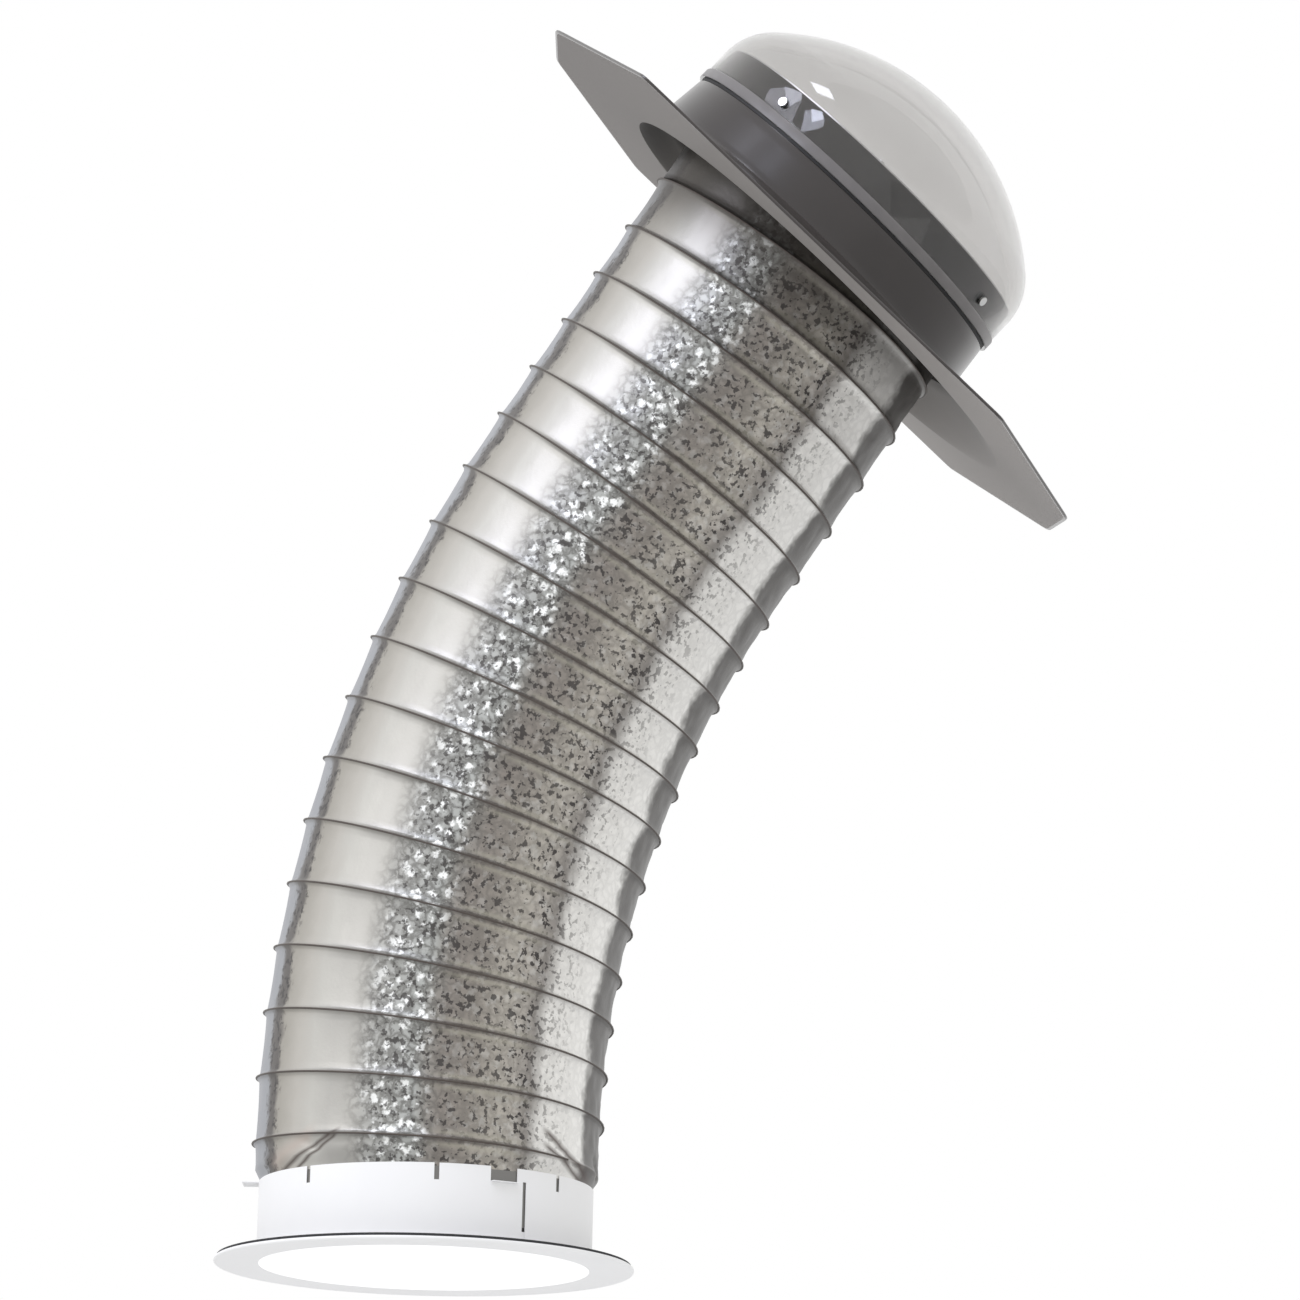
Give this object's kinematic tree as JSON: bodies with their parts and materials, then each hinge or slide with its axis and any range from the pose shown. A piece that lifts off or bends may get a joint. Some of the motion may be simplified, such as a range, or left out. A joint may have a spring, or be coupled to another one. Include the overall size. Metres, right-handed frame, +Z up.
{
  "type": "tubular skylight",
  "caption": "Tubular skylight: domed pitched roof flashing, bent flexible foil duct with a helical wire, white ceiling collar, ring and opal diffuser.",
  "frame": {"origin": "centre of the ceiling frame, on the plane where its gasket meets the ceiling", "axes": "+Z up through the ceiling frame, the duct leaning toward +X and the roof flashing at its upper end"},
  "size_m": [0.8774, 0.8983, 1.3147],
  "materials": {
    "white_paint": "satin white powder coat",
    "foam": "matt closed-cell foam",
    "opal": "opal",
    "steel": "zinc plated",
    "foil": "crinkled laminated foil",
    "wire": "drawn wire",
    "bronze_paint": "gloss dark bronze outside, grey-beige backing coat inside",
    "alu": "mill",
    "black_rubber": "matt",
    "acrylic": "clear tinted, thermoformed"
  },
  "bodies": {
    "root": {"ceiling_ring": "white_paint", "ceiling_gasket": "foam", "ceiling_collar": "white_paint", "diffuser": "opal", "retaining_hoop": "steel", "foil_foot": "foil", "foil_bend_lower": "foil", "foil_bend_upper": "foil", "foil_run": "foil", "helix_wire": "wire", "flashing": "bronze_paint", "tube_adapter": "alu", "adapter_rivets": "alu", "band_clamp": "steel", "clamp_screw": "steel", "dome_seal": "black_rubber", "dome_grommets": "black_rubber", "dome_screws": "steel", "dome": "acrylic"}
  },
  "joints": []
}
